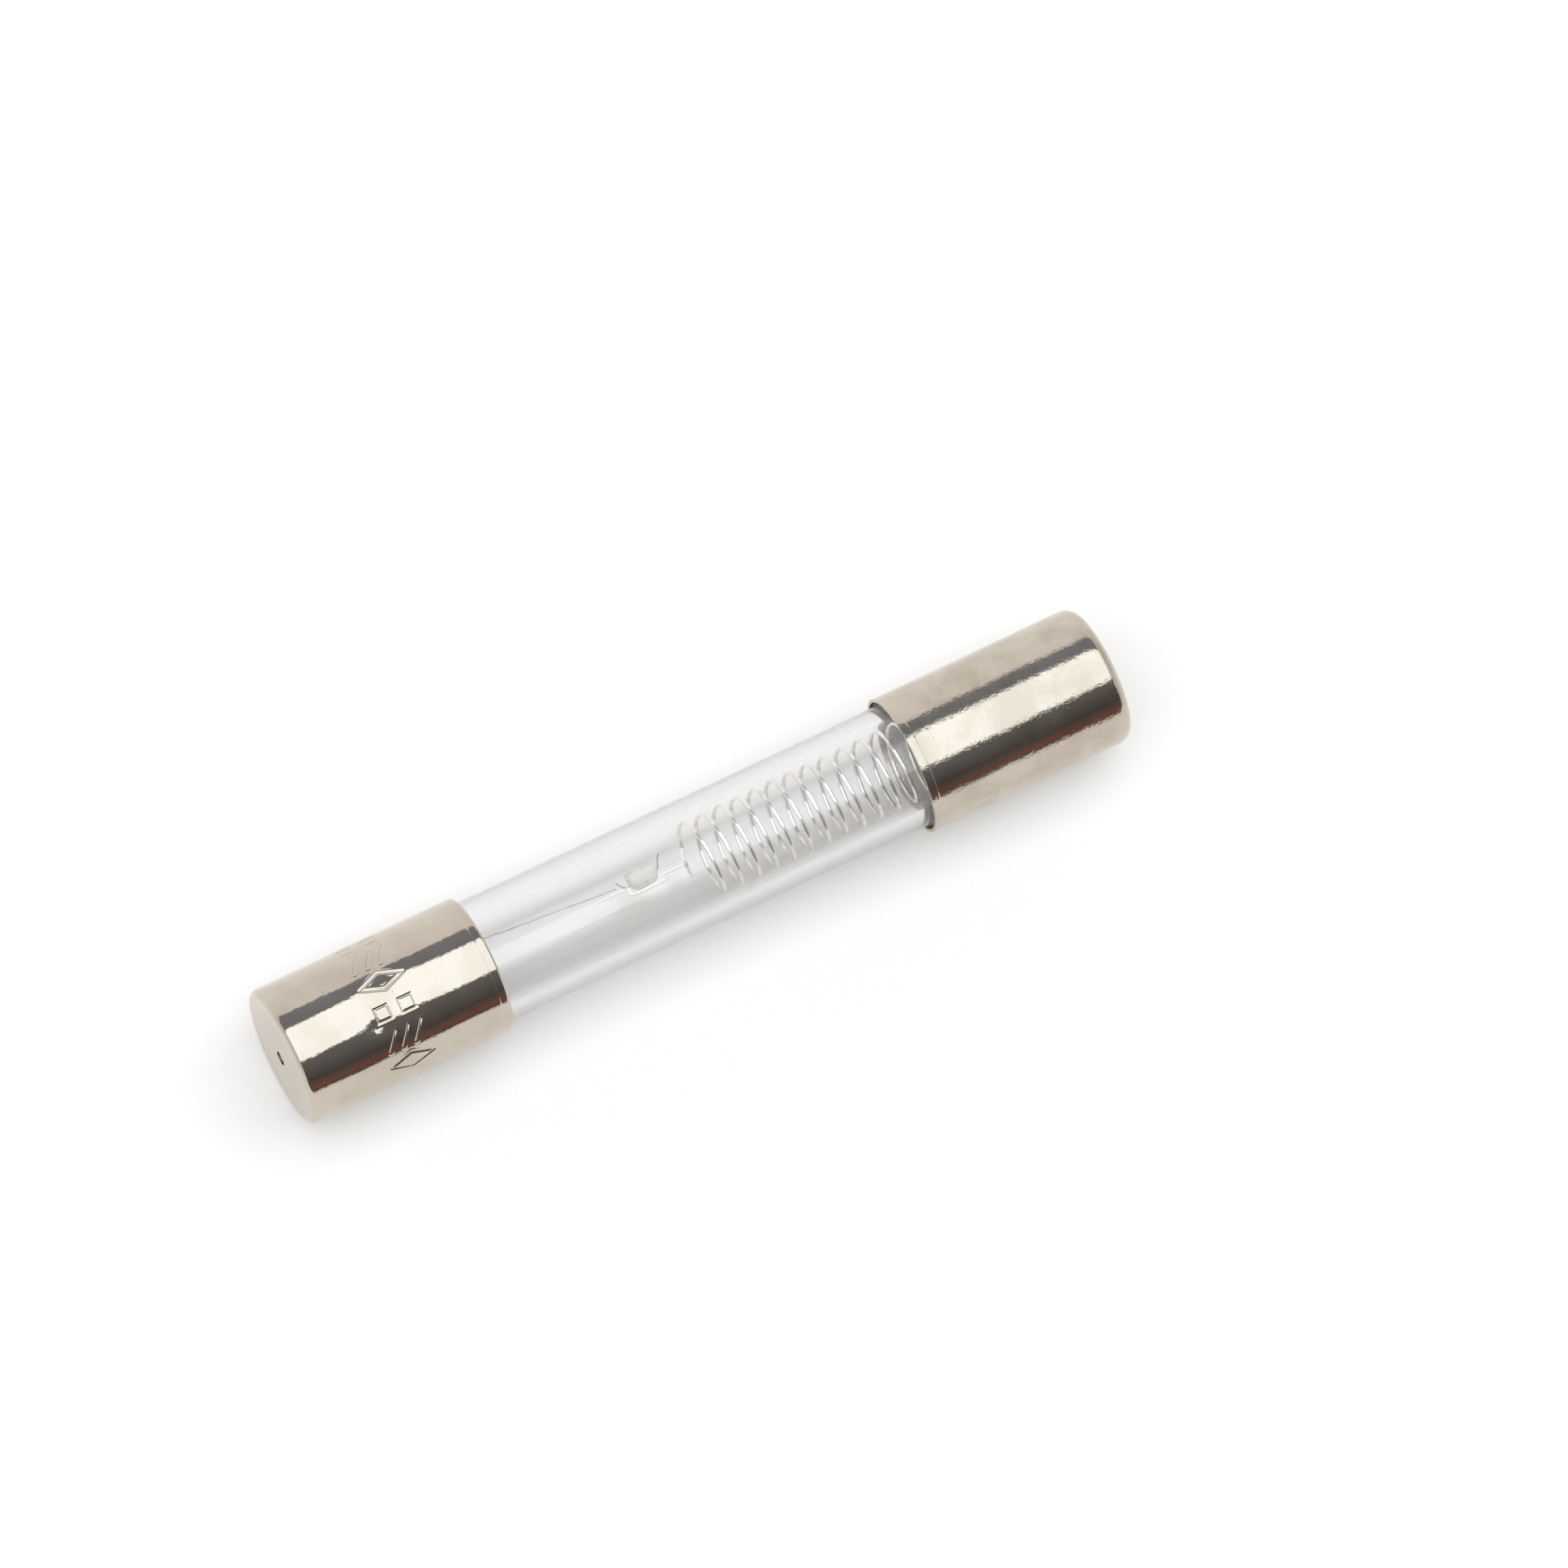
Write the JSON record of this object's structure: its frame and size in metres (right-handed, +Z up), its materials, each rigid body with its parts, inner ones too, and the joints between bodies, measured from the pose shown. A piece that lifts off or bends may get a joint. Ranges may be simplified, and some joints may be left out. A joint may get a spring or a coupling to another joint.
{
  "type": "cartridge fuse",
  "caption": "Glass cartridge fuse with nickel-plated cup caps, a fine fuse wire and a stretched coil spring that pulls the melted link clear.",
  "frame": {"origin": "on the fuse's axis, halfway between the two end faces", "axes": "+X along the fuse's axis towards the end cap that anchors the spring, +Z up with the fuse lying on its side"},
  "size_m": [0.04, 0.0064, 0.0064],
  "materials": {
    "nickel": "bright nickel plate on thin pressed brass, lightly handled",
    "tube_glass": "clear drawn glass",
    "cement": "matt off-white cement",
    "solder": "dull tin solder",
    "spring_steel": "bright spring wire",
    "fuse_metal": "dark oxidised fine wire",
    "bead_ceramic": "waxy cream ceramic",
    "tinned_wire": "bright tinned copper"
  },
  "bodies": {
    "cartridge": {"front_cap": "nickel", "rear_cap": "nickel", "glass_tube": "tube_glass", "front_cement": "cement", "rear_cement": "cement", "front_solder": "solder", "rear_solder": "solder", "spring": "spring_steel", "fuse_wire": "fuse_metal"},
    "link": {"bead": "bead_ceramic", "bead_strap": "tinned_wire", "front_lead": "tinned_wire", "rear_lead": "tinned_wire", "hook_solder": "solder", "binding_wire": "fuse_metal"}
  },
  "joints": [
    {"name": "link_retract", "type": "slide", "parent": "cartridge", "child": "link", "axis": [1, 0, 0], "range_m": [0, 0.01], "deforming": ["spring"]}
  ]
}
